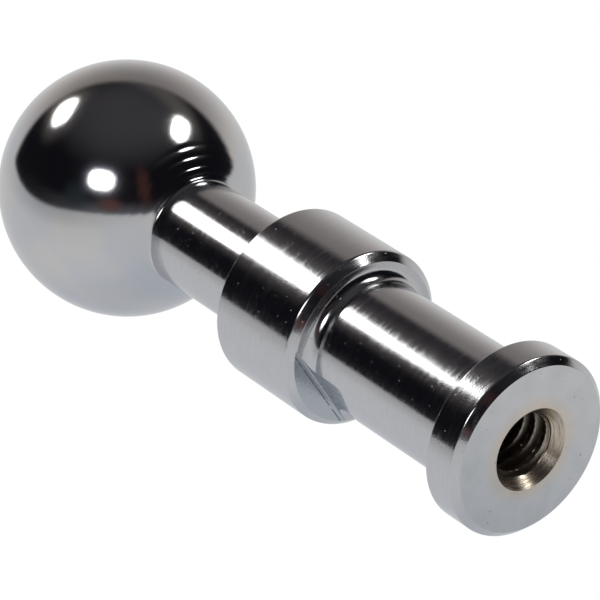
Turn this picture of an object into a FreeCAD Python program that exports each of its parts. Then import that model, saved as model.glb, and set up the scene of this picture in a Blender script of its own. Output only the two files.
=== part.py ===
"""Ball-ended mounting stud: a turned, grooved stem with a tapped end, and a ball pressed on its neck.

Frame: millimetres, +Z along the stem from the tapped end to the ball, the origin at the centre of
the end face that the stud stands on, and +X the way the small milled flat faces.
"""
import FreeCAD, Part
import math
import os

V = FreeCAD.Vector
UP = V(0, 0, 1)

# Ball
BALL_D = 22.0                  # finished diameter of the ball
BALL_CENTRE_Z = 52.5           # height of the ball's centre above the end face
BALL_BORE_DEPTH = 10.0         # straight depth of the blind bore, from the seat
DRILL_POINT_DEG = 118.0        # included angle that a twist drill leaves at a blind end

# Stem, upwards from the end face
LAND_D = 15.0                  # diameter that the flange and the collar share
FLANGE_TOP_Z = 3.3             # flange side of the lock groove
FLANGE_CHAMFER_R = 0.5         # flange chamfer, across
FLANGE_CHAMFER_Z = 0.7         # flange chamfer, along
SHANK_D = 11.0                 # bottom of the lock groove
COLLAR_FACE_Z = 20.0           # collar side of the lock groove
COLLAR_CHAMFER_R = 0.5
COLLAR_CHAMFER_Z = 1.0
COLLAR_TOP_Z = 29.5
COLLAR_FILLET = 1.05           # fillet between the shank and the collar's face
NECK_D = 9.4
SPIGOT_D = 6.0                 # pressed into the ball
SPIGOT_LENGTH = 9.5
SPIGOT_LEAD = 0.5              # lead-in chamfer on the spigot
EDGE_BREAK = 0.12              # small break on the sharp turned edges

# Milled flat on the shank, against the collar
FLAT_X = 4.95                  # distance of the flat from the stem's axis
FLAT_LENGTH = 4.6              # along the shank, from the collar's face
FLAT_RUNOUT = 1.2              # radius of the cutter's corner, where the flat runs out
FLAT_SKIM = 0.06               # how far the cutter's end skims the collar's face

# Tapped hole, 1/4-20 UNC, made as a plain bore at the thread's minor diameter
THREAD_MINOR_D = 5.1           # tapping-drill size; the thread's major diameter is 6.35
HOLE_DEPTH = 13.0              # straight depth of the tapping drill
COUNTERSINK_D = 6.85
COUNTERSINK_DEPTH = 1.05


def revolve(points):
    """A solid turned about Z from (radius, height) points."""
    wire = Part.makePolygon([V(r, 0, z) for r, z in points] + [V(points[0][0], 0, points[0][1])])
    return Part.Face(wire).revolve(V(0, 0, 0), UP, 360)


def drill_point_depth(diameter):
    """Depth of the cone at the end of a drilled hole."""
    return diameter / 2 / math.tan(math.radians(DRILL_POINT_DEG / 2))


def seat_z():
    """Height at which the neck meets the ball's surface: the ball's seat."""
    return BALL_CENTRE_Z - math.sqrt((BALL_D / 2) ** 2 - (NECK_D / 2) ** 2)


def ball():
    """A sphere with a flat seat as wide as the neck, and a drilled blind bore for the spigot."""
    sphere = Part.makeSphere(BALL_D / 2, V(0, 0, BALL_CENTRE_Z), UP, -90, 90, 360)
    below_seat = Part.makeCylinder(BALL_D, BALL_D, V(0, 0, seat_z() - BALL_D))
    r = SPIGOT_D / 2
    bore_end = seat_z() + BALL_BORE_DEPTH
    bore = revolve([
        (0, seat_z() - 1), (r, seat_z() - 1), (r, bore_end),
        (0, bore_end + drill_point_depth(SPIGOT_D)),
    ])
    return sphere.cut(below_seat).cut(bore)


def stem_blank():
    """The turned outside of the stem, from the end face up to the spigot."""
    land, shank, neck, spigot = (d / 2 for d in (LAND_D, SHANK_D, NECK_D, SPIGOT_D))
    spigot_top = seat_z() + SPIGOT_LENGTH
    outline = [
        (0, 0), (land - FLANGE_CHAMFER_R, 0), (land, FLANGE_CHAMFER_Z),
        (land, FLANGE_TOP_Z - EDGE_BREAK), (land - EDGE_BREAK, FLANGE_TOP_Z), (shank, FLANGE_TOP_Z),
        (shank, COLLAR_FACE_Z), (land - COLLAR_CHAMFER_R, COLLAR_FACE_Z),
        (land, COLLAR_FACE_Z + COLLAR_CHAMFER_Z), (land, COLLAR_TOP_Z - EDGE_BREAK),
        (land - EDGE_BREAK, COLLAR_TOP_Z), (neck, COLLAR_TOP_Z), (neck, seat_z()),
        (spigot, seat_z()), (spigot, spigot_top - SPIGOT_LEAD),
        (spigot - SPIGOT_LEAD, spigot_top), (0, spigot_top),
    ]
    return revolve(outline)


def collar_fillet():
    """The ring of metal left by the tool's nose between the shank and the collar's face."""
    shank = SHANK_D / 2
    outer = shank + COLLAR_FILLET
    low = COLLAR_FACE_Z - COLLAR_FILLET
    middle = COLLAR_FILLET * (1 - math.sqrt(0.5))
    overlap = 0.2
    arc = Part.Arc(V(shank, 0, low), V(shank + middle, 0, COLLAR_FACE_Z - middle),
                   V(outer, 0, COLLAR_FACE_Z))
    rest = Part.makePolygon([
        V(outer, 0, COLLAR_FACE_Z), V(outer, 0, COLLAR_FACE_Z + overlap),
        V(shank - overlap, 0, COLLAR_FACE_Z + overlap), V(shank - overlap, 0, low),
        V(shank, 0, low),
    ])
    wire = Part.Wire([arc.toShape()] + rest.Edges)
    return Part.Face(wire).revolve(V(0, 0, 0), UP, 360)


def flat_cutter():
    """The space swept by the cutter that mills the flat; its lower inner edge is rounded."""
    top = COLLAR_FACE_Z + FLAT_SKIM
    low = COLLAR_FACE_Z - FLAT_LENGTH
    block = Part.makeBox(LAND_D, 2 * LAND_D, top - low, V(FLAT_X, -LAND_D, low))
    corner = [
        edge for edge in block.Edges
        if all(abs(v.X - FLAT_X) < 1e-6 and abs(v.Z - low) < 1e-6 for v in edge.Vertexes)
    ]
    return block.makeFillet(FLAT_RUNOUT, corner)


def tapping_bore():
    """The drilled hole with its pointed end, opened by the countersink."""
    r = THREAD_MINOR_D / 2
    mouth = COUNTERSINK_D / 2
    slope = (mouth - r) / COUNTERSINK_DEPTH
    below = 1.0
    return revolve([
        (0, -below), (mouth + slope * below, -below), (r, COUNTERSINK_DEPTH), (r, HOLE_DEPTH),
        (0, HOLE_DEPTH + drill_point_depth(THREAD_MINOR_D)),
    ])


def stem():
    """The whole stem, in one piece of metal."""
    blank = stem_blank().fuse(collar_fillet()).removeSplitter()
    return blank.cut(flat_cutter()).cut(tapping_bore())


def only_solid(shape):
    """The one closed solid that a sub-part is made of."""
    if len(shape.Solids) != 1 or not shape.isValid():
        raise ValueError(f"{len(shape.Solids)} solids, valid: {shape.isValid()}")
    return shape.Solids[0]


os.makedirs("parts", exist_ok=True)
for name, make in (("ball", ball), ("stem", stem)):
    solid = only_solid(make())
    solid.exportStep(f"parts/{name}.step")
    box = solid.optimalBoundingBox()
    print(f"{name}: {solid.Volume:.1f} mm3, z {box.ZMin:.2f} to {box.ZMax:.2f}, width {box.XLength:.2f}")
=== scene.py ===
# %% [markdown]
# # A ball-ended mounting stud
# The real object is a small chrome-plated stud: a polished ball on a slim neck, then a stem with a
# collar, a lock groove and an end flange, tapped for a screw. Chrome has almost no colour of its
# own, so this lesson spends its effort on exact outlines, on the marks that the tools left, and on
# a studio worth reflecting.

# %% Load the frame
import bpy
import bmesh
import math
from mathutils import Matrix, Vector


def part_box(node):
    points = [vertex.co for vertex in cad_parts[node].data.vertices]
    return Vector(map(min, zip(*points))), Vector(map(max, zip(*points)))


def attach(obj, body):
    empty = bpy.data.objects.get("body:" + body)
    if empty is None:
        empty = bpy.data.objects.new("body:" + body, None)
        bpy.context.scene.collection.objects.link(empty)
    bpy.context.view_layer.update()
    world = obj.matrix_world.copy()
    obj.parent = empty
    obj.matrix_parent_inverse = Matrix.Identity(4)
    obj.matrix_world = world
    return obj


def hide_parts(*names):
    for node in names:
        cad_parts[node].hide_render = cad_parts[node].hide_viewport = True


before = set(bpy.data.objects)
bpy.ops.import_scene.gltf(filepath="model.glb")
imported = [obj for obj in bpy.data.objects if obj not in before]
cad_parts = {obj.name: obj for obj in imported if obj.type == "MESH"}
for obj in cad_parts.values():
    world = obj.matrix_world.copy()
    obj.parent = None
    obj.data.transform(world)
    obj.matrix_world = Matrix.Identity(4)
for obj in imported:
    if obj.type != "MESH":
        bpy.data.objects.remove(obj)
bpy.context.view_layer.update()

# %% [markdown]
# ## Sizes
# The frame gives the overall sizes, so they are read from it: the ball's radius and centre, the
# lands' radius, and the seat where the ball meets the neck. What a box can't tell is named here in
# millimetres, as on a turner's drawing, and turned into metres once.

# %% Sizes of the turned outline
MM = 0.001
ball_low, ball_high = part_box("ball")
stem_low, stem_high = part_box("stem")
LAND_R = stem_high.x
SEAT_Z = ball_low.z
NECK_R = 4.7 * MM
# A sphere through the top of the ball and through the seat's rim has this radius.
ball_height = ball_high.z - SEAT_Z
BALL_R = (ball_height ** 2 + NECK_R ** 2) / (2 * ball_height)
BALL_Z = ball_high.z - BALL_R

SHANK_R = 5.5 * MM
FLANGE_TOP = 3.3 * MM
COLLAR_FACE = 20.0 * MM
COLLAR_TOP = 29.5 * MM
FLANGE_CHAMFER = (0.58 * MM, 0.60 * MM)        # across and along
COLLAR_CHAMFER = (0.64 * MM, 0.66 * MM)
COLLAR_FILLET = 1.00 * MM
SPIGOT_R = 3.0 * MM
SPIGOT_LENGTH = 9.5 * MM
BALL_BORE_DEPTH = 10.0 * MM
BROKEN = 0.09 * MM             # radius of an edge that was broken with a file
BACK_EDGE = 0.17 * MM          # radius of the collar's back edge
FLANGE_EASING = 0.20 * MM      # polishing rounds the chamfers' outer edges further
COLLAR_EASING = 0.35 * MM
NECK_FILLET = 0.28 * MM        # the small fillet where the neck runs into the ball
DRILL_HALF_ANGLE = math.radians(59)
print(f"ball radius {BALL_R / MM:.2f} mm, centre at {BALL_Z / MM:.2f} mm,",
      f"seat at {SEAT_Z / MM:.2f} mm")

# %% [markdown]
# ## An outline with eased corners
# Turned work is a flat outline swept round an axis. A corner drawn as a single point would shade
# like folded paper, while a real edge is a tiny curve that catches a thin line of light. So each
# corner of the outline carries its own radius, and one helper turns corner and radius into an arc.
# A Bevel modifier could do this too, but it rounds every edge alike and can't follow a drawing.
# Smooth shading blends normals between neighbouring rings, so a long straight face would bend
# near each arc. A support ring just beside the arc keeps that bend too short to be seen.

# %% Ease the corners of an outline
SUPPORT = 0.03 * MM


def eased(corners, steps=5):
    """Points (radius, height) of an outline whose corners (radius, height, easing) are arcs."""
    points = [Vector(corners[0][:2])]
    for before, here, after in zip(corners, corners[1:], corners[2:]):
        at, easing = Vector(here[:2]), here[2]
        back = Vector(before[:2]) - at
        ahead = Vector(after[:2]) - at
        turn = back.angle(ahead)
        if easing == 0 or abs(turn - math.pi) < 1e-4:
            points.append(at)
            continue
        reach = easing / math.tan(turn / 2)
        start, end = at + back.normalized() * reach, at + ahead.normalized() * reach
        bisector = (back.normalized() + ahead.normalized()).normalized()
        middle = at + bisector * (easing / math.sin(turn / 2))
        first = start - middle
        sweep = first.angle_signed(end - middle)
        if (start - points[-1]).length > 3 * SUPPORT:
            points.append(start + back.normalized() * SUPPORT)
        for k in range(steps + 1):
            angle = -sweep * k / steps
            points.append(middle + Matrix.Rotation(angle, 2) @ first)
        if ahead.length - reach > 4 * SUPPORT:
            points.append(end + ahead.normalized() * SUPPORT)
    points.append(Vector(corners[-1][:2]))
    return points


# %% [markdown]
# ## Sweep an outline round the axis
# The Screw modifier would sweep a curve, but the tapped hole needs a radius that changes round the
# turn as well as along it. So the sweep is a small loop: each outline point becomes a ring, and a
# ring may move its points with a function. A point on the axis becomes a single vertex.

# %% Turn an outline into a closed mesh
SEGMENTS = 240


def ring_vertex(bm, radius, height, k):
    angle = 2 * math.pi * k / SEGMENTS
    return bm.verts.new((radius * math.cos(angle), radius * math.sin(angle), height))


def turned(name, outline, wall=None):
    """A closed mesh of the outline swept round Z; wall(angle, height) moves marked rings."""
    bm = bmesh.new()
    rings = []
    for point in outline:
        radius, height = point[0], point[1]
        if radius < 1e-9:
            rings.append([bm.verts.new((0, 0, height))])
            continue
        ring = []
        for k in range(SEGMENTS):
            cut = wall(2 * math.pi * k / SEGMENTS, height) if len(point) > 2 else radius
            ring.append(ring_vertex(bm, cut, height, k))
        rings.append(ring)
    for lower, upper in zip(rings, rings[1:]):
        for k in range(SEGMENTS):
            following = (k + 1) % SEGMENTS
            if len(lower) == 1:
                bm.faces.new((lower[0], upper[following], upper[k]))
            elif len(upper) == 1:
                bm.faces.new((lower[k], lower[following], upper[0]))
            else:
                bm.faces.new((lower[k], lower[following], upper[following], upper[k]))
    bmesh.ops.recalc_face_normals(bm, faces=bm.faces)
    mesh = bpy.data.meshes.new(name)
    bm.to_mesh(mesh)
    bm.free()
    piece = bpy.data.objects.new(name, mesh)
    bpy.context.scene.collection.objects.link(piece)
    return piece


def keep_crisp(piece, degrees=32):
    """Smooth shading that stops at real edges, with normals that follow the large faces."""
    piece.data.shade_smooth()
    piece.data.set_sharp_from_angle(angle=math.radians(degrees))
    weighted = piece.modifiers.new("follow large faces", "WEIGHTED_NORMAL")
    weighted.keep_sharp = True
    weighted.weight = 100


# %% [markdown]
# ## The ball
# The ball is ground and polished before it meets the stem, so it is a true sphere. A UV sphere
# would do, but this one has a flat seat as wide as the neck and a blind bore for the stem's
# spigot, so it is turned like the rest: an arc from pole to seat, then the bore. Close to the neck
# the polishing wheel rides up on the stem and leaves a few shallow waves, mostly on one side. They
# are real dips in the surface, because they break a reflection as no bump of one scale would.

# %% Make the ball
# each wave: distance from the seat, half width, depth
WAVES = [
    (0.50 * MM, 0.20 * MM, 0.060 * MM),
    (1.35 * MM, 0.21 * MM, 0.054 * MM),
    (2.20 * MM, 0.22 * MM, 0.042 * MM),
    (3.05 * MM, 0.22 * MM, 0.028 * MM),
]
WAVED = 4.0 * MM
WAVE_SIDE = math.radians(125)
WAVE_SPREAD = math.radians(17)
WAVE_ELSEWHERE = 0.05
seat_angle = math.asin(NECK_R / BALL_R)


def wave_depth(angle, from_seat):
    """How deep the waves are, at an angle round the axis and a distance from the seat."""
    aside = math.remainder(angle - WAVE_SIDE, 2 * math.pi) / WAVE_SPREAD
    share = WAVE_ELSEWHERE + (1 - WAVE_ELSEWHERE) * math.exp(-aside ** 2)
    return share * sum(d * math.exp(-((from_seat - at) / width) ** 2) for at, width, d in WAVES)


def ball_wall(angle, height):
    """The ball's radius round the axis at this height, with the waves pressed in."""
    polar = math.acos((height - BALL_Z) / BALL_R)
    from_seat = (math.pi - seat_angle - polar) * BALL_R
    return (BALL_R - wave_depth(angle, from_seat) / math.sin(polar) ** 2) * math.sin(polar)


def ball_outline(coarse=96, fine=130):
    waved = WAVED / BALL_R
    start = math.pi - seat_angle - waved
    arc = [(BALL_R * math.sin(start * k / coarse), BALL_Z + BALL_R * math.cos(start * k / coarse))
           for k in range(coarse)]
    for k in range(fine):
        angle = start + waved * k / fine
        arc.append((BALL_R * math.sin(angle), BALL_Z + BALL_R * math.cos(angle), "waves"))
    bore_end = SEAT_Z + BALL_BORE_DEPTH
    drill_point = SPIGOT_R / math.tan(DRILL_HALF_ANGLE)
    bore = [(SPIGOT_R, SEAT_Z), (SPIGOT_R, bore_end), (0, bore_end + drill_point)]
    return arc + [(NECK_R, SEAT_Z)] + bore


ball = turned("polished_ball", ball_outline(), ball_wall)
keep_crisp(ball)
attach(ball, "root")
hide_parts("ball")
print("ball:", len(ball.data.polygons), "faces")

# %% [markdown]
# ## The tapped hole
# The end is drilled, countersunk and tapped. A thread can be made by sweeping a V along a helix
# and cutting it out, but such a cut is heavy and often breaks. A thread is really a height map
# wrapped round a hole: at each angle and depth the wall is as far out as the cutter that reached
# furthest, be it the countersink or the tap. One function gives that radius, and the rings take it.

# %% Radius of the hole's wall
PITCH = 25.4 / 20 * MM
MINOR_R = 2.55 * MM
MAJOR_R = 3.175 * MM
MOUTH_R = 3.425 * MM
SINK_DEPTH = 1.05 * MM
TAP_REACH = 8.0 * MM
TAP_FADE = 1.0 * MM
MOUTH_FADE = (0.70 * MM, 1.15 * MM)   # the countersink wears the first turn away down to here
DRILL_DEPTH = 13.0 * MM
FIRST_GROOVE = 1.63 * MM       # depth of the first groove's middle, at THREAD_ANGLE
THREAD_ANGLE = math.radians(90)
FLANK_ANGLE = math.radians(30)


def thread_radius(angle, depth):
    turns = (depth - FIRST_GROOVE) / PITCH - (angle - THREAD_ANGLE) / (2 * math.pi)
    from_groove = abs(turns - round(turns)) * PITCH
    cut = MAJOR_R - max(0.0, from_groove - PITCH / 16) / math.tan(FLANK_ANGLE)
    fade = min(1.0, max(0.0, (TAP_REACH - depth) / TAP_FADE))
    worn = min(1.0, max(0.0, (depth - MOUTH_FADE[0]) / (MOUTH_FADE[1] - MOUTH_FADE[0])))
    return MINOR_R + max(0.0, cut - MINOR_R) * fade * worn


def hole_radius(angle, depth):
    sink = MOUTH_R - (MOUTH_R - MINOR_R) * depth / SINK_DEPTH
    return max(sink, thread_radius(angle, depth), MINOR_R)


def hole_rings():
    """Rings down the hole, close together along the thread, then the drill's plain end."""
    fine = PITCH / 26
    count = int(TAP_REACH / fine)
    rings = [(MINOR_R, TAP_REACH * k / count, "cut") for k in range(count, 0, -1)]
    end = [(0, DRILL_DEPTH + MINOR_R / math.tan(DRILL_HALF_ANGLE)), (MINOR_R, DRILL_DEPTH)]
    return end + rings


print(f"thread: {TAP_REACH / PITCH:.1f} turns at {PITCH / MM:.2f} mm")

# %% [markdown]
# ## The stem
# Everything below the ball is one turning. The outline runs from the drill's point, out of the
# hole, across the end face, over the flange, along the lock groove, up the fillet to the collar,
# along the neck to the ball, and ends with the spigot that is pressed into the ball.

# %% Make the stem
def stem_corners():
    seat = SEAT_Z
    # Where the ball's surface leaves the neck, it rises outwards along this slope.
    slope = Vector((math.sqrt(BALL_R ** 2 - NECK_R ** 2), NECK_R)).normalized()
    lip = Vector((NECK_R, seat)) + slope * (0.75 * NECK_FILLET)
    top = seat + SPIGOT_LENGTH
    return [
        (MOUTH_R, 0, 0),
        (LAND_R - FLANGE_CHAMFER[0], 0, BROKEN),
        (LAND_R, FLANGE_CHAMFER[1], FLANGE_EASING),
        (LAND_R, FLANGE_TOP, BROKEN),
        (SHANK_R, FLANGE_TOP, 2 * BROKEN),
        (SHANK_R, COLLAR_FACE, COLLAR_FILLET),
        (LAND_R - COLLAR_CHAMFER[0], COLLAR_FACE, BROKEN),
        (LAND_R, COLLAR_FACE + COLLAR_CHAMFER[1], COLLAR_EASING),
        (LAND_R, COLLAR_TOP, BACK_EDGE),
        (NECK_R, COLLAR_TOP, 2 * BROKEN),
        (NECK_R, seat, NECK_FILLET),
        (lip.x, lip.y, 0),
        (NECK_R * 0.98, seat, 0),
        (SPIGOT_R, seat, 0),
        (SPIGOT_R, top, 0.5 * MM),
        (0, top, 0),
    ]


def stem_outline():
    return hole_rings() + [tuple(p) for p in eased(stem_corners(), steps=8)]


stem = turned("turned_stem", stem_outline(), hole_radius)
print("stem:", len(stem.data.polygons), "faces before milling")

# %% [markdown]
# ## The milled flat
# Beside the collar a small flat is milled on the shank, and the cutter's end skims the collar's
# face. Moving vertices would leave a ragged step, because the flat's edge crosses the rings. A
# boolean with a block of the cutter's shape cuts it as a mill does: crisp on three sides, with the
# cutter's rounded corner where it runs out along the shank.

# %% Mill the flat
FLAT_X = 4.95 * MM
FLAT_LENGTH = 4.6 * MM
FLAT_RUNOUT = 1.2 * MM
FLAT_SKIM = 0.06 * MM
CUTTER_CORNER = 0.12 * MM


def milling_block():
    """The cutter's outline in the XZ plane, pushed along Y."""
    far, wide = 2 * LAND_R, 2 * LAND_R
    top, low = COLLAR_FACE + FLAT_SKIM, COLLAR_FACE - FLAT_LENGTH
    corners = [(far, top, 0), (FLAT_X, top, CUTTER_CORNER),
               (FLAT_X, low, FLAT_RUNOUT), (far, low, 0)]
    outline = eased(corners, steps=12)
    bm = bmesh.new()
    sides = [[bm.verts.new((p[0], side * wide, p[1])) for p in outline] for side in (-1, 1)]
    bm.faces.new(sides[0])
    bm.faces.new(list(reversed(sides[1])))
    for k in range(len(outline)):
        following = (k + 1) % len(outline)
        bm.faces.new((sides[0][k], sides[1][k], sides[1][following], sides[0][following]))
    bmesh.ops.recalc_face_normals(bm, faces=bm.faces)
    mesh = bpy.data.meshes.new("milling_block")
    bm.to_mesh(mesh)
    bm.free()
    block = bpy.data.objects.new("milling_block", mesh)
    bpy.context.scene.collection.objects.link(block)
    return block


def mill(piece, block):
    cut = piece.modifiers.new("mill", "BOOLEAN")
    cut.operation, cut.solver, cut.object = "DIFFERENCE", "EXACT", block
    evaluated = piece.evaluated_get(bpy.context.evaluated_depsgraph_get())
    mesh = bpy.data.meshes.new_from_object(evaluated)
    piece.modifiers.clear()
    piece.data = mesh
    bpy.data.objects.remove(block)


mill(stem, milling_block())
keep_crisp(stem)
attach(stem, "root")
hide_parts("stem")
print("stem:", len(stem.data.polygons), "faces after milling")

# %% [markdown]
# ## Node helpers
# Shader trees read best when each line makes one node. Two small helpers do that: one adds a node
# with its settings, the other joins an output to an input or sets the input's value. The others
# are short forms of these two for sums, vectors, soft steps and groups.

# %% Helpers for shader trees
def add(tree, kind, inputs=None, **settings):
    node = tree.nodes.new(kind)
    for key, value in settings.items():
        setattr(node, key, value)
    for key, value in (inputs or {}).items():
        feed(tree, node.inputs[key], value)
    return node


def feed(tree, socket, value):
    if isinstance(value, bpy.types.NodeSocket):
        tree.links.new(value, socket)
    else:
        socket.default_value = value


def math_node(tree, operation, *values, clamp=False):
    node = tree.nodes.new("ShaderNodeMath")
    node.operation, node.use_clamp = operation, clamp
    for socket, value in zip(node.inputs, values):
        feed(tree, socket, value)
    return node.outputs[0]


def vector_node(tree, operation, *values):
    node = tree.nodes.new("ShaderNodeVectorMath")
    node.operation = operation
    for socket, value in zip(node.inputs, values):
        feed(tree, socket, value)
    return node.outputs["Value" if operation in ("DOT_PRODUCT", "LENGTH", "DISTANCE") else "Vector"]


def ramp(tree, value, low, high):
    """0 below low, 1 above high, with a soft step between."""
    node = add(tree, "ShaderNodeMapRange", {"Value": value}, interpolation_type="SMOOTHSTEP")
    node.inputs["From Min"].default_value = low
    node.inputs["From Max"].default_value = high
    return node.outputs["Result"]


def new_group(name, inputs, outputs):
    """A node group with float or vector inputs, its input node and its output node."""
    group = bpy.data.node_groups.new(name, "ShaderNodeTree")
    for socket, (kind, value) in inputs.items():
        made = group.interface.new_socket(socket, in_out="INPUT", socket_type=kind)
        made.default_value = value
    for socket, kind in outputs.items():
        group.interface.new_socket(socket, in_out="OUTPUT", socket_type=kind)
    return group, group.nodes.new("NodeGroupInput"), group.nodes.new("NodeGroupOutput")


def use(tree, group, **values):
    """Place a group in a material; underscores in a keyword stand for spaces."""
    node = tree.nodes.new("ShaderNodeGroup")
    node.node_tree = group
    for key, value in values.items():
        feed(tree, node.inputs[key.replace("_", " ")], value)
    return node


FLOAT, VECTOR = "NodeSocketFloat", "NodeSocketVector"

# %% [markdown]
# ## Turning grain
# A lathe tool leaves fine rings that plating and buffing soften but don't hide. They are long
# round the part and short along it. Noise stretched in that way gives both a height, for the
# bump, and a streak value that varies the roughness and the tone.

# %% Group: turning grain
def turning_grain():
    group, given, out = new_group(
        "turning grain",
        {"Lines per mm": (FLOAT, 6.0), "Length in mm": (FLOAT, 3.0)},
        {"Height": FLOAT, "Streaks": FLOAT},
    )
    place = add(group, "ShaderNodeTexCoord").outputs["Object"]
    split = add(group, "ShaderNodeSeparateXYZ", {"Vector": place})
    round_scale = math_node(group, "DIVIDE", 1000.0, given.outputs["Length in mm"])
    along_scale = math_node(group, "MULTIPLY", 1000.0, given.outputs["Lines per mm"])
    stretched = add(group, "ShaderNodeCombineXYZ", {
        "X": math_node(group, "MULTIPLY", split.outputs["X"], round_scale),
        "Y": math_node(group, "MULTIPLY", split.outputs["Y"], round_scale),
        "Z": math_node(group, "MULTIPLY", split.outputs["Z"], along_scale),
    })
    noise = add(group, "ShaderNodeTexNoise", {
        "Vector": stretched.outputs[0], "Scale": 1.0, "Detail": 3.0, "Roughness": 0.6})
    feed(group, out.inputs["Height"], noise.outputs["Fac"])
    feed(group, out.inputs["Streaks"], ramp(group, noise.outputs["Fac"], 0.4, 0.7))
    return group


TURNING = turning_grain()
print("group:", TURNING.name)

# %% [markdown]
# ## Nicks, pits and scratches
# Plated parts knock against each other in a bin. That leaves small dents and short scratches.
# Painting them one by one would take for ever. A Voronoi texture splits space into cells with one
# point each, so a dent round some of the points is enough, and the same dents in a stretched and
# turned space are scratches. The group therefore takes the place as an input.

# %% Group: scattered marks
def scattered_marks():
    group, given, out = new_group(
        "scattered marks",
        {"Place": (VECTOR, (0, 0, 0)), "Cells per mm": (FLOAT, 1.0), "Share": (FLOAT, 0.2),
         "Radius in mm": (FLOAT, 0.1)},
        {"Height": FLOAT, "Mask": FLOAT},
    )
    scale = math_node(group, "MULTIPLY", 1000.0, given.outputs["Cells per mm"])
    cells = add(group, "ShaderNodeTexVoronoi", {"Vector": given.outputs["Place"], "Scale": scale})
    picked = add(group, "ShaderNodeSeparateColor", {"Color": cells.outputs["Color"]})
    chosen = math_node(group, "LESS_THAN", picked.outputs["Red"], given.outputs["Share"])
    across = math_node(group, "MULTIPLY", given.outputs["Radius in mm"],
                       given.outputs["Cells per mm"])
    size = math_node(group, "MULTIPLY", across, math_node(
        group, "MULTIPLY_ADD", picked.outputs["Green"], 1.0, 0.5))
    ratio = math_node(group, "DIVIDE", cells.outputs["Distance"], size)
    dent = math_node(group, "SUBTRACT", 1.0, ramp(group, ratio, 0.3, 1.0))
    mask = math_node(group, "MULTIPLY", dent, chosen)
    feed(group, out.inputs["Height"], math_node(group, "MULTIPLY", mask, -1.0))
    feed(group, out.inputs["Mask"], mask)
    return group


MARKS = scattered_marks()
print("group:", MARKS.name)


def marks(tree, cells, share, radius, turn=(0, 0, 0), stretch=1.0):
    """Dents, or with a stretch above 1 scratches that lie along the turned Y direction."""
    place = add(tree, "ShaderNodeTexCoord").outputs["Object"]
    turned_place = add(tree, "ShaderNodeMapping", {
        "Vector": place, "Rotation": turn, "Scale": (1.0, 1.0 / stretch, 1.0)})
    return use(tree, MARKS, Place=turned_place.outputs[0], Cells_per_mm=cells, Share=share,
               Radius_in_mm=radius).outputs


# %% [markdown]
# ## Facing rings
# A face that is turned flat keeps rings of another kind: circles round the axis, one inside the
# other. They depend only on the distance from the axis, so a noise of one dimension makes them.
# The group also gives that distance, because a halo round the hole needs it too.

# %% Group: facing rings
def facing_rings():
    group, given, out = new_group("facing rings", {"Rings per mm": (FLOAT, 9.0)},
                                  {"Height": FLOAT, "Radius": FLOAT})
    place = add(group, "ShaderNodeTexCoord").outputs["Object"]
    radius = vector_node(group, "LENGTH", vector_node(group, "MULTIPLY", place, (1.0, 1.0, 0.0)))
    per_metre = math_node(group, "MULTIPLY", given.outputs["Rings per mm"], 1000.0)
    place_on_ring = math_node(group, "MULTIPLY", radius, per_metre)
    rings = add(group, "ShaderNodeTexNoise", {"W": place_on_ring, "Scale": 1.0},
                noise_dimensions="1D")
    feed(group, out.inputs["Height"], rings.outputs["Fac"])
    feed(group, out.inputs["Radius"], radius)
    return group


FACING = facing_rings()
print("group:", FACING.name)

# %% [markdown]
# ## Chrome, in several finishes
# Every surface has the same plating, but not the same shine, so one material for all would look
# like plastic. Each finish below is a Principled metal with its own colour and roughness. The
# groups above only vary its roughness, its colour and its bump.

# %% Start a metal
CHROME = (0.56, 0.565, 0.58, 1.0)
COOL_CHROME = (0.540, 0.552, 0.578, 1.0)
WARM_CHROME = (0.585, 0.580, 0.572, 1.0)
FACED = (0.55, 0.55, 0.565, 1.0)
# The milled flat's colour is darker as painted shade: the flat reflects the table where the stud's
# shadow falls.
SHADED_MILLED = (0.415, 0.44, 0.465, 1.0)
SKIMMED = (0.475, 0.505, 0.54, 1.0)
NICKEL = (0.52, 0.465, 0.39, 1.0)
THREAD = (0.34, 0.30, 0.26, 1.0)


def metal(name, colour, roughness):
    material = bpy.data.materials.new(name)
    material.use_nodes = True
    tree = material.node_tree
    shader = tree.nodes["Principled BSDF"]
    shader.inputs["Base Color"].default_value = colour
    shader.inputs["Metallic"].default_value = 1.0
    shader.inputs["Roughness"].default_value = roughness
    return material, tree, shader


def bump(tree, height, distance, under=None):
    node = add(tree, "ShaderNodeBump", {"Height": height, "Distance": distance})
    if under is not None:
        tree.links.new(under, node.inputs["Normal"])
    return node.outputs["Normal"]


def noise_at(tree, per_mm, detail=2.0):
    place = add(tree, "ShaderNodeTexCoord").outputs["Object"]
    return add(tree, "ShaderNodeTexNoise", {"Vector": place, "Scale": per_mm * 1000.0,
                                            "Detail": detail}).outputs["Fac"]


def shade(tree, value, darkest, lightest):
    """A colour between two shades of a metal, chosen by a value from 0 to 1."""
    node = add(tree, "ShaderNodeMix", {"Factor": value}, data_type="RGBA")
    node.inputs["A"].default_value = darkest
    node.inputs["B"].default_value = lightest
    return node.outputs["Result"]


def tone(colour, share):
    return tuple(channel * share for channel in colour[:3]) + (1.0,)


# %% [markdown]
# ### Mirror chrome
# The ball is buffed until it mirrors the room. A roughness of zero would still look wrong: real
# chrome has a faint haze that softens the edges of a lamp, and the haze isn't even. So the
# roughness and the tint drift slowly, and a few pits and hairlines catch the light.

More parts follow.
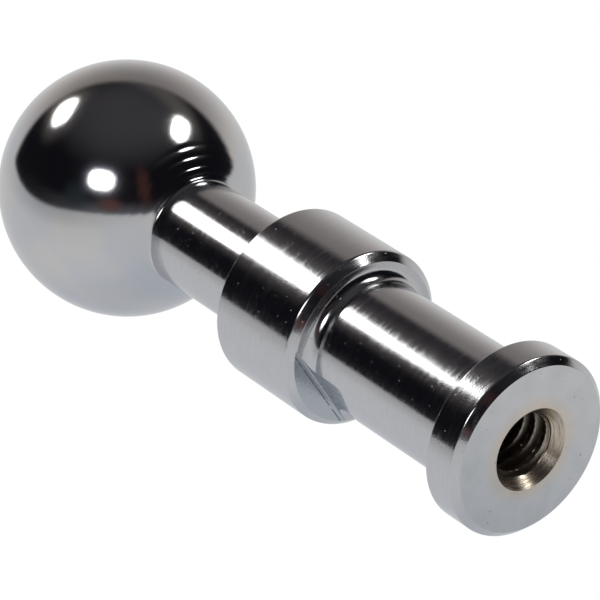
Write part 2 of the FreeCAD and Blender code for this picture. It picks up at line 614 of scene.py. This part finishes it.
# %% Mirror chrome for the ball
def mirror_chrome():
    material, tree, shader = metal("mirror_chrome", CHROME, 0.12)
    grain = use(tree, TURNING, Lines_per_mm=3.0, Length_in_mm=2.5)
    pits = marks(tree, 0.9, 0.10, 0.05)
    hairs = marks(tree, 1.4, 0.16, 0.030, turn=(0.5, 0.9, 0.3), stretch=14.0)
    haze = noise_at(tree, 0.22, 5.0)
    clouds = ramp(tree, haze, 0.35, 0.65)
    feed(tree, shader.inputs["Base Color"], shade(tree, clouds, COOL_CHROME, WARM_CHROME))
    roughness = math_node(tree, "MULTIPLY_ADD", haze, 0.06, 0.08)
    roughness = math_node(tree, "MULTIPLY_ADD", hairs["Mask"], 0.12, roughness)
    feed(tree, shader.inputs["Roughness"], roughness)
    normal = bump(tree, grain.outputs["Height"], 0.0022 * MM)
    normal = bump(tree, noise_at(tree, 3.0), 0.0016 * MM, under=normal)
    normal = bump(tree, pits["Height"], 0.004 * MM, under=normal)
    normal = bump(tree, hairs["Height"], 0.0012 * MM, under=normal)
    feed(tree, shader.inputs["Normal"], normal)
    return material


# %% [markdown]
# ### Turned chrome
# The stem's sides go from the lathe straight to the plating bath, so the tool's grain and the
# orange peel of the plating both remain. An anisotropic shader would smear every highlight the
# same way. A bump that is longer round the part than along it also breaks its edges up, as here.

# %% Turned chrome for the stem's sides
def turned_chrome():
    material, tree, shader = metal("turned_chrome", CHROME, 0.14)
    grain = use(tree, TURNING, Lines_per_mm=5.0, Length_in_mm=1.6)
    nicks = marks(tree, 1.0, 0.22, 0.09)
    pinholes = marks(tree, 2.8, 0.30, 0.050, turn=(0.2, 0.5, 0.9), stretch=1.6)
    scratches = marks(tree, 1.3, 0.22, 0.034, turn=(0.7, 0.4, 1.1), stretch=8.0)
    mottle = math_node(tree, "MULTIPLY_ADD", noise_at(tree, 0.5, 4.0), 0.5, math_node(
        tree, "MULTIPLY", grain.outputs["Streaks"], 0.5))
    colour = shade(tree, mottle, tone(CHROME, 0.95), tone(CHROME, 1.04))
    feed(tree, shader.inputs["Base Color"], colour)
    roughness = math_node(tree, "MULTIPLY_ADD", grain.outputs["Streaks"], 0.07, 0.11)
    roughness = math_node(tree, "MULTIPLY_ADD", nicks["Mask"], 0.1, roughness)
    feed(tree, shader.inputs["Roughness"], roughness)
    normal = bump(tree, grain.outputs["Height"], 0.0012 * MM)
    normal = bump(tree, noise_at(tree, 6.5, 1.0), 0.0028 * MM, under=normal)
    normal = bump(tree, nicks["Height"], 0.018 * MM, under=normal)
    normal = bump(tree, pinholes["Height"], 0.012 * MM, under=normal)
    normal = bump(tree, scratches["Height"], 0.006 * MM, under=normal)
    feed(tree, shader.inputs["Normal"], normal)
    return material


# %% [markdown]
# ### Faced chrome
# The narrow faces of the collar and the flange are cut with the side of the tool and are hard to
# reach with a buff. They are duller, with circles round the axis instead of grain.

# %% Faced chrome for the narrow faces of the collar and flange
def faced_chrome():
    material, tree, shader = metal("faced_chrome", FACED, 0.26)
    rings = use(tree, FACING, Rings_per_mm=14.0)
    cloud = noise_at(tree, 0.8, 4.0)
    spots = marks(tree, 1.6, 0.18, 0.05)
    spotted = math_node(tree, "MULTIPLY", spots["Mask"], 0.8)
    worn = math_node(tree, "MULTIPLY_ADD", cloud, 0.6, spotted)
    feed(tree, shader.inputs["Base Color"], shade(tree, worn, tone(FACED, 1.04), tone(FACED, 0.84)))
    feed(tree, shader.inputs["Roughness"], math_node(tree, "MULTIPLY_ADD", cloud, 0.16, 0.18))
    normal = bump(tree, rings.outputs["Height"], 0.003 * MM)
    feed(tree, shader.inputs["Normal"], bump(tree, spots["Height"], 0.006 * MM, under=normal))
    return material


# %% [markdown]
# ### Milled chrome
# The flat and the patch that the cutter skimmed on the collar were never buffed. They look blue
# and matt, and the flat is darker still as painted shade, for the stud's shadow on the table that
# it reflects. Where the cutter's corner ran, a broken dark line is painted as the shade of a groove.
# It is painted by distance from that line, because a groove this fine would need more faces than
# the whole stem.

# %% Milled chrome for the flat, with the line where the cutter's corner ran
TOOL_LINE_X = 0.38 * MM
TOOL_LINE_HALF = 0.07 * MM


def milled_chrome(name, colour):
    material, tree, shader = metal(name, colour, 0.25)
    place = add(tree, "ShaderNodeTexCoord").outputs["Object"]
    across = add(tree, "ShaderNodeSeparateXYZ", {"Vector": place}).outputs["X"]
    from_line = math_node(tree, "SUBTRACT", across, FLAT_X + TOOL_LINE_X)
    off_line = math_node(tree, "ABSOLUTE", from_line)
    clear = ramp(tree, off_line, 0.3 * TOOL_LINE_HALF, TOOL_LINE_HALF)
    # Painted shade: a broken dark line along the cutter's path stands in for the shade of a fine
    # groove.
    painted_groove_shade = math_node(tree, "SUBTRACT", 1.0, clear)
    painted_groove_shade = math_node(tree, "MULTIPLY", painted_groove_shade, ramp(tree, noise_at(tree, 2.2), 0.34, 0.46))
    spots = marks(tree, 1.2, 0.2, 0.07)
    # The painted groove shade and the real spots darken the colour together.
    worn = math_node(tree, "MAXIMUM", painted_groove_shade, spots["Mask"])
    feed(tree, shader.inputs["Base Color"], shade(tree, worn, colour, tone(colour, 0.30)))
    roughness = math_node(tree, "MULTIPLY_ADD", noise_at(tree, 0.8), 0.15, 0.2)
    feed(tree, shader.inputs["Roughness"], roughness)
    feed(tree, shader.inputs["Normal"], bump(tree, noise_at(tree, 4.0), 0.004 * MM))
    return material


# %% [markdown]
# ### Satin chrome
# The end face is faced, then blasted, and stays satin. Round the hole the plating is thin and
# turns warm. A sharp circle would look printed, so a noise moves the halo's edge in and out. One
# side is painted lighter than the other, as painted light and shade, and dirt sits in small pits.

# %% Satin chrome for the end face
HALO_INNER = 3.55 * MM
HALO_OUTER = 4.7 * MM
HALO_RAGGED = 1.4 * MM                # how far the noise moves the halo's edge, in all
LIT_SIDE_DIRECTION = (-0.87, 0.5)            # painted light: the face is painted lighter towards this side
# Painted shade and painted light: the tones of the darker and the lighter side of the face.
SHADED_SIDE_TONE = (0.80, 0.81, 0.815, 1.0)
LIT_SIDE_TONE = (1.0, 0.985, 0.96, 1.0)
SATIN = (0.645, 0.655, 0.675, 1.0)
WARM_SATIN = (0.68, 0.62, 0.56, 1.0)
DIRT = (0.16, 0.15, 0.14, 1.0)
DULL_PATCH = (0.93, 0.94, 0.93, 1.0)


def satin_face():
    material, tree, shader = metal("satin_face", SATIN, 0.3)
    place = add(tree, "ShaderNodeTexCoord").outputs["Object"]
    rings = use(tree, FACING, Rings_per_mm=9.0)
    cloud = noise_at(tree, 0.45, 5.0)
    # Painted light and shade: the face is painted lighter towards one side and darker towards the
    # other.
    towards = vector_node(tree, "DOT_PRODUCT", place, (LIT_SIDE_DIRECTION[0], LIT_SIDE_DIRECTION[1], 0.0))
    lit_share = ramp(tree, towards, -LAND_R, 0.8 * LAND_R)
    shifted = math_node(tree, "SUBTRACT", rings.outputs["Radius"], HALO_RAGGED / 2)
    ragged = math_node(tree, "MULTIPLY_ADD", cloud, HALO_RAGGED, shifted)
    halo = math_node(tree, "SUBTRACT", 1.0, ramp(tree, ragged, HALO_INNER, HALO_OUTER))
    tint = shade(tree, halo, SATIN, WARM_SATIN)
    specks = marks(tree, 1.5, 0.60, 0.065)
    flecks = marks(tree, 0.9, 0.10, 0.035, turn=(0.0, 0.0, 0.8), stretch=6.0)
    dirty = {"Factor": math_node(tree, "MAXIMUM", specks["Mask"], flecks["Mask"]), "A": tint}
    dark = add(tree, "ShaderNodeMix", dirty, data_type="RGBA")
    dark.inputs["B"].default_value = DIRT
    patchy = {"Factor": ramp(tree, cloud, 0.35, 0.7), "A": dark.outputs["Result"]}
    patches = add(tree, "ShaderNodeMix", patchy, data_type="RGBA", blend_type="MULTIPLY")
    patches.inputs["B"].default_value = DULL_PATCH
    sides = {"Factor": lit_share, "A": SHADED_SIDE_TONE, "B": LIT_SIDE_TONE}
    even = add(tree, "ShaderNodeMix", sides, data_type="RGBA")
    both = {"Factor": 1.0, "A": patches.outputs["Result"], "B": even.outputs["Result"]}
    lit = add(tree, "ShaderNodeMix", both, data_type="RGBA", blend_type="MULTIPLY")
    feed(tree, shader.inputs["Base Color"], lit.outputs["Result"])
    feed(tree, shader.inputs["Roughness"], math_node(tree, "MULTIPLY_ADD", cloud, 0.14, 0.22))
    normal = bump(tree, rings.outputs["Height"], 0.0025 * MM)
    feed(tree, shader.inputs["Normal"], bump(tree, specks["Height"], 0.008 * MM, under=normal))
    return material


# %% [markdown]
# ### Thin plating
# Hardly any chrome reaches into a hole, and the nickel under it is yellower and stains brown. The
# countersink and the thread share one function with different values.

# %% Thin plating in the countersink and on the thread
def thin_plating(name, colour, roughness, lines_per_mm, depth):
    material, tree, shader = metal(name, colour, roughness)
    grain = use(tree, TURNING, Lines_per_mm=lines_per_mm, Length_in_mm=3.0)
    stain = math_node(tree, "MULTIPLY_ADD", noise_at(tree, 0.9, 4.0), 0.6, math_node(
        tree, "MULTIPLY", grain.outputs["Streaks"], 0.4))
    brown = (colour[0] * 0.62, colour[1] * 0.52, colour[2] * 0.42, 1.0)
    stained = shade(tree, ramp(tree, stain, 0.35, 0.75), colour, brown)
    feed(tree, shader.inputs["Base Color"], stained)
    feed(tree, shader.inputs["Roughness"],
         math_node(tree, "MULTIPLY_ADD", grain.outputs["Streaks"], 0.15, roughness))
    feed(tree, shader.inputs["Normal"], bump(tree, grain.outputs["Height"], depth))
    return material


# %% [markdown]
# ### Which face gets which finish
# After milling, no face can be found by its number. Each finish has a place, though, so a face is
# sorted by where its middle is and which way it looks. That still works when a size changes.

# %% Give each face its finish
def is_milled(face):
    """True on the flat and its run-out."""
    middle, normal = face.center, face.normal
    if abs(normal.y) > 1e-3 or middle.x < FLAT_X - 1e-6:
        return False
    return COLLAR_FACE - FLAT_LENGTH < middle.z < COLLAR_FACE + FLAT_SKIM and middle.x < SHANK_R


def finish_of(face):
    out = math.hypot(face.center.x, face.center.y)
    if face.normal.z < -0.99 and COLLAR_FACE + 1e-6 < face.center.z < COLLAR_FACE + 2 * FLAT_SKIM:
        return "skimmed"
    if is_milled(face):
        return "milled"
    if abs(face.normal.z) > 0.99 and SHANK_R < out < LAND_R and face.center.z > FLANGE_TOP / 2:
        return "faced"
    if face.center.z < 1e-6 and out > MOUTH_R * 0.99:
        return "satin"
    if out < MOUTH_R and face.center.z < SINK_DEPTH and out > MINOR_R * 1.005:
        return "sink"
    if out < MAJOR_R * 1.01 and face.center.z < DRILL_DEPTH + MAJOR_R:
        return "thread"
    return "turned"


def finish_stem(piece):
    finishes = {
        "turned": turned_chrome(), "faced": faced_chrome(), "satin": satin_face(),
        "milled": milled_chrome("milled_chrome", SHADED_MILLED),
        "skimmed": milled_chrome("skimmed_chrome", SKIMMED),
        "sink": thin_plating("countersink_nickel", NICKEL, 0.24, 9.0, 0.005 * MM),
        "thread": thin_plating("thread_nickel", THREAD, 0.28, 7.0, 0.003 * MM),
    }
    names = list(finishes)
    piece.data.materials.clear()
    for material in finishes.values():
        piece.data.materials.append(material)
    counts = dict.fromkeys(names, 0)
    for face in piece.data.polygons:
        finish = finish_of(face)
        face.material_index = names.index(finish)
        counts[finish] += 1
    return counts


ball.data.materials.clear()
ball.data.materials.append(mirror_chrome())
print("faces per finish:", finish_stem(stem))

# %% [markdown]
# ## The camera
# A camera is easiest to place as one is in a studio: pick the point to look at, the direction to
# look from, how far the camera is rolled, and how long the lens is. The stud is seen from below
# its end face, nearly two thirds of a right angle of roll, through a long lens.

# %% Place the camera
LOOK_AT = Vector((0, 0, 28.3 * MM))
AZIMUTH, ELEVATION, ROLL = 164.46, -43.33, -57.06
DISTANCE = 266.8 * MM
LENS = 198.6


def camera_axes(azimuth, elevation, roll):
    """The camera's right, up and back directions."""
    a, e, r = (math.radians(v) for v in (azimuth, elevation, roll))
    back = Vector((math.sin(a) * math.cos(e), -math.cos(a) * math.cos(e), math.sin(e)))
    level_right = Vector((math.cos(a), math.sin(a), 0))
    level_up = back.cross(level_right)
    right = level_right * math.cos(r) + level_up * math.sin(r)
    return right, back.cross(right), back


RIGHT, CAMERA_UP, BACK = camera_axes(AZIMUTH, ELEVATION, ROLL)
camera_data = bpy.data.cameras.new("camera")
camera_data.lens = LENS
camera_data.sensor_width = 36.0
camera_data.clip_start, camera_data.clip_end = 0.01, 10.0
camera = bpy.data.objects.new("camera", camera_data)
bpy.context.scene.collection.objects.link(camera)
camera.matrix_world = Matrix.Translation(LOOK_AT + BACK * DISTANCE) @ Matrix(
    (RIGHT, CAMERA_UP, BACK)).transposed().to_4x4()
bpy.context.scene.camera = camera
print("camera at", tuple(round(c, 4) for c in camera.location))

# %% [markdown]
# ## The studio
# Chrome shows the room, so the room is part of the look. The stud lies on a pale table in a dim
# room with three softboxes, and the camera looks down at it. The table is the lower half of the
# surroundings, a pale sweep stands behind the stud, and the rest is nearly black. All of it is
# drawn in the world's shader, in directions: azimuth from the camera and height above the table.

# %% Directions in the studio
CAMERA_HEIGHT = math.radians(25)      # how steeply the camera looks down at the table
TABLE_UP = CAMERA_UP * math.cos(CAMERA_HEIGHT) + BACK * math.sin(CAMERA_HEIGHT)
TOWARDS = BACK * math.cos(CAMERA_HEIGHT) - CAMERA_UP * math.sin(CAMERA_HEIGHT)


def studio_direction(azimuth, height):
    """Azimuth 0 is towards the camera, positive to its right; height is above the table."""
    a, h = math.radians(azimuth), math.radians(height)
    return (RIGHT * math.sin(a) * math.cos(h) + TOWARDS * math.cos(a) * math.cos(h)
            + TABLE_UP * math.sin(h))


# name: azimuth, height, half width, half height (degrees)
SOFTBOXES = {
    "far_left": (-123.0, 40.5, 10.8, 7.3),
    "front": (-23.0, 28.5, 11.0, 8.0),
    "right": (96.0, 48.5, 11.8, 6.6),
}
SOFTBOX_LIGHT = (6.0, 5.95, 5.85, 1.0)
SOFTBOX_EDGE = 0.22
SQUARENESS = 2.6                      # 2 would make a patch an ellipse, more squares it off
SWEEP = (176, -12, 59)                # azimuth, height and angular radius of the pale sweep

print("softboxes and their azimuths:", {name: box[0] for name, box in SOFTBOXES.items()})

# %% [markdown]
# ### A soft-edged patch
# A softbox is a square with round corners and a soft rim. Area lamps could make it too, but each
# would need a shape and a rim of its own. Here a mask is made from the direction alone, and one
# group serves the softboxes, the table and everything that stands in the room.

# %% Group: a soft-edged patch on the surroundings
def patch_group():
    group, given, out = new_group(
        "soft patch",
        {"Direction": (VECTOR, (0, 0, 0)), "Centre": (VECTOR, (0, 0, 1)),
         "Across": (VECTOR, (1, 0, 0)), "Upwards": (VECTOR, (0, 1, 0)),
         "Half width": (FLOAT, 0.2), "Half height": (FLOAT, 0.2), "Softness": (FLOAT, 0.15)},
        {"Mask": FLOAT},
    )
    direction = given.outputs["Direction"]
    facing = vector_node(group, "DOT_PRODUCT", direction, given.outputs["Centre"])
    squares = []
    for axis, half in (("Across", "Half width"), ("Upwards", "Half height")):
        offset = vector_node(group, "DOT_PRODUCT", direction, given.outputs[axis])
        relative = math_node(group, "DIVIDE", offset, given.outputs[half])
        share = math_node(group, "ABSOLUTE", relative)
        squares.append(math_node(group, "POWER", share, SQUARENESS))
    spread = math_node(group, "POWER", math_node(group, "ADD", *squares), 1 / SQUARENESS)
    inner = math_node(group, "SUBTRACT", 1.0, given.outputs["Softness"])
    outer = math_node(group, "ADD", 1.0, given.outputs["Softness"])
    edge = add(group, "ShaderNodeMapRange", {
        "Value": spread, "From Min": inner, "From Max": outer, "To Min": 1.0, "To Max": 0.0},
        interpolation_type="SMOOTHSTEP")
    front = math_node(group, "GREATER_THAN", facing, 0.0)
    feed(group, out.inputs["Mask"], math_node(group, "MULTIPLY", edge.outputs["Result"], front))
    return group


SOFT_PATCH = patch_group()
print("group:", SOFT_PATCH.name)


def patch(tree, direction, azimuth, height, half_width, half_height, softness):
    centre = studio_direction(azimuth, height)
    across = TABLE_UP.cross(centre).normalized()
    return use(tree, SOFT_PATCH, Direction=direction, Centre=centre, Across=across,
               Upwards=centre.cross(across), Half_width=math.sin(math.radians(half_width)),
               Half_height=math.sin(math.radians(half_height)), Softness=softness).outputs["Mask"]


# %% [markdown]
# ### Table, room and sweep
# The table and the room are painted apart and joined at the table's far edge, so that nothing
# painted on one spills over onto the other. The camera's own rays see plain white.

# %% Paint the surroundings
TABLE_NEAR = (0.62, 0.645, 0.69, 1.0)
TABLE_LEVEL = (0.70, 0.70, 0.70, 1.0)
SWEEP_LOW = (0.72, 0.69, 0.675, 1.0)
SWEEP_HIGH = (0.27, 0.24, 0.23, 1.0)
CEILING = (0.058, 0.055, 0.060, 1.0)
ROOM = (0.0065, 0.0060, 0.0085, 1.0)
BACKGROUND = (1.0, 1.0, 1.0, 1.0)
ROOM_PATCH_SHARE = 0.8                # a patch in the room never covers it fully
LOW_SIDE, LOW_SIDE_DROP = -85, 0.075  # azimuth where the table's far edge hangs, and how far

# name: azimuth, height, half width, half height (degrees), softness, colour
PATCHES = {
    "bright_table": (-60, -48, 50, 22, 0.8, (0.77, 0.77, 0.785, 1.0)),
    "shaded_table": (-70, -4, 42, 9, 0.9, (0.50, 0.50, 0.51, 1.0)),
    "things_in_front": (-12, 0, 40, 7, 0.8, (0.12, 0.12, 0.135, 1.0)),
    "teal_gleam": (-45, 10, 9, 9, 0.8, (0.022, 0.032, 0.038, 1.0)),
    "brown_low": (-12, 7.5, 9, 5, 0.5, (0.120, 0.052, 0.044, 1.0)),
    "brown_high": (19, 24, 5, 15, 0.6, (0.068, 0.028, 0.026, 1.0)),
    "dim_wall": (142, 48, 30, 8, 0.8, (0.125, 0.112, 0.108, 1.0)),
    "left_glow": (-123, 40.5, 17, 12, 0.6, (0.150, 0.132, 0.120, 1.0)),
    "front_glow": (-23, 28.5, 14, 10.5, 0.5, (0.085, 0.085, 0.150, 1.0)),
}
ON_TABLE = ("bright_table", "shaded_table")


def blend_colours(tree, factor, a, b):
    node = add(tree, "ShaderNodeMix", {"Factor": factor}, data_type="RGBA")
    feed(tree, node.inputs["A"], a)
    feed(tree, node.inputs["B"], b)
    return node.outputs["Result"]


def paint_table_and_room(tree, direction):
    """The table below, the dark room above, and the sweep that stands behind."""
    height = vector_node(tree, "DOT_PRODUCT", direction, TABLE_UP)
    table = blend_colours(tree, ramp(tree, height, -0.95, -0.2), TABLE_NEAR, TABLE_LEVEL)
    for name in ON_TABLE:
        azimuth, up, half_width, half_height, softness, colour = PATCHES[name]
        mask = patch(tree, direction, azimuth, up, half_width, half_height, softness)
        table = blend_colours(tree, mask, table, colour)
    room = blend_colours(tree, ramp(tree, height, 0.54, 1.0), ROOM, CEILING)
    for name in [n for n in PATCHES if n not in ON_TABLE]:
        azimuth, up, half_width, half_height, softness, colour = PATCHES[name]
        mask = patch(tree, direction, azimuth, up, half_width, half_height, softness)
        room = blend_colours(tree, math_node(tree, "MULTIPLY", mask, ROOM_PATCH_SHARE), room, colour)
    behind = vector_node(tree, "DOT_PRODUCT", direction, studio_direction(*SWEEP[:2]))
    limit = math.cos(math.radians(SWEEP[2]))
    sweep = blend_colours(tree, ramp(tree, height, -0.12, 0.72), SWEEP_LOW, SWEEP_HIGH)
    room = blend_colours(tree, ramp(tree, behind, limit - 0.05, limit + 0.07), room, sweep)
    # The table's far edge hangs a little lower on one side.
    side = vector_node(tree, "DOT_PRODUCT", direction, studio_direction(LOW_SIDE, 0))
    on_that_side = math_node(tree, "POWER", math_node(tree, "MAXIMUM", side, 0.0), 4.0)
    lower = math_node(tree, "MULTIPLY", on_that_side, LOW_SIDE_DROP)
    level = math_node(tree, "ADD", height, lower)
    return blend_colours(tree, ramp(tree, level, -0.04, 0.02), table, room)


def paint_world():
    world = bpy.data.worlds.new("studio")
    bpy.context.scene.world = world
    world.use_nodes = True
    tree = world.node_tree
    tree.nodes.clear()
    direction = add(tree, "ShaderNodeTexCoord").outputs["Generated"]
    colour = paint_table_and_room(tree, direction)
    for azimuth, up, half_width, half_height in SOFTBOXES.values():
        mask = patch(tree, direction, azimuth, up, half_width, half_height, SOFTBOX_EDGE)
        colour = blend_colours(tree, mask, colour, SOFTBOX_LIGHT)
    seen = add(tree, "ShaderNodeLightPath").outputs["Is Camera Ray"]
    colour = blend_colours(tree, seen, colour, BACKGROUND)
    light = add(tree, "ShaderNodeBackground", {"Color": colour})
    output = add(tree, "ShaderNodeOutputWorld")
    tree.links.new(light.outputs[0], output.inputs["Surface"])
    return world


paint_world()
print("softboxes:", ", ".join(SOFTBOXES))

# %% [markdown]
# ## The floor
# Other views look at the stud standing on a pale floor. The first view looks up from under it, so
# the floor is one-sided: from below it lets everything through, and only the camera's own rays see
# it from above, so that it doesn't hide the studio from the chrome.

# %% Lay the floor
FLOOR_RADIUS = 0.6
FLOOR_GAP = 0.02 * MM
FLOOR_COLOUR = (0.82, 0.82, 0.82, 1.0)


def one_sided_floor():
    bm = bmesh.new()
    bmesh.ops.create_circle(bm, cap_ends=True, segments=96, radius=FLOOR_RADIUS)
    mesh = bpy.data.meshes.new("floor")
    bm.to_mesh(mesh)
    bm.free()
    floor = bpy.data.objects.new("floor", mesh)
    floor.location.z = -FLOOR_GAP
    bpy.context.scene.collection.objects.link(floor)
    material = bpy.data.materials.new("pale_floor")
    material.use_nodes = True
    tree = material.node_tree
    shader = tree.nodes["Principled BSDF"]
    shader.inputs["Base Color"].default_value = FLOOR_COLOUR
    shader.inputs["Roughness"].default_value = 0.6
    clear = add(tree, "ShaderNodeBsdfTransparent")
    seen = add(tree, "ShaderNodeLightPath").outputs["Is Camera Ray"]
    below = add(tree, "ShaderNodeNewGeometry").outputs["Backfacing"]
    solid = math_node(tree, "MULTIPLY", seen, math_node(tree, "SUBTRACT", 1.0, below))
    mixed = add(tree, "ShaderNodeMixShader", {0: solid, 1: clear.outputs[0], 2: shader.outputs[0]})
    tree.links.new(mixed.outputs[0], tree.nodes["Material Output"].inputs["Surface"])
    mesh.materials.append(material)
    return floor


floor = one_sided_floor()

# %% [markdown]
# ### Light on the floor
# The painted studio is arranged round the camera, not round this floor, so one large lamp gives
# the floor an even light of its own. It is hidden from glossy rays, because the chrome would
# otherwise show a lamp that the studio doesn't have.

# %% Light the floor softly from above
def softbox_lamp(name, place, size, watts):
    data = bpy.data.lights.new(name, "AREA")
    data.shape, data.size, data.energy = "DISK", size, watts
    lamp = bpy.data.objects.new(name, data)
    lamp.location = place
    lamp.rotation_mode = "QUATERNION"
    lamp.rotation_quaternion = Vector(place).to_track_quat("Z", "Y")
    lamp.visible_glossy = False
    bpy.context.scene.collection.objects.link(lamp)
    return lamp


softbox_lamp("floor_light", place=(0.25, -0.2, 0.6), size=0.5, watts=6.0)
print("floor and its light are in place")

# %% [markdown]
# ## Finish
# The Standard view transform has no film-like curve, so a white background stays white.

# %% Finish
bpy.context.scene.view_settings.view_transform = "Standard"
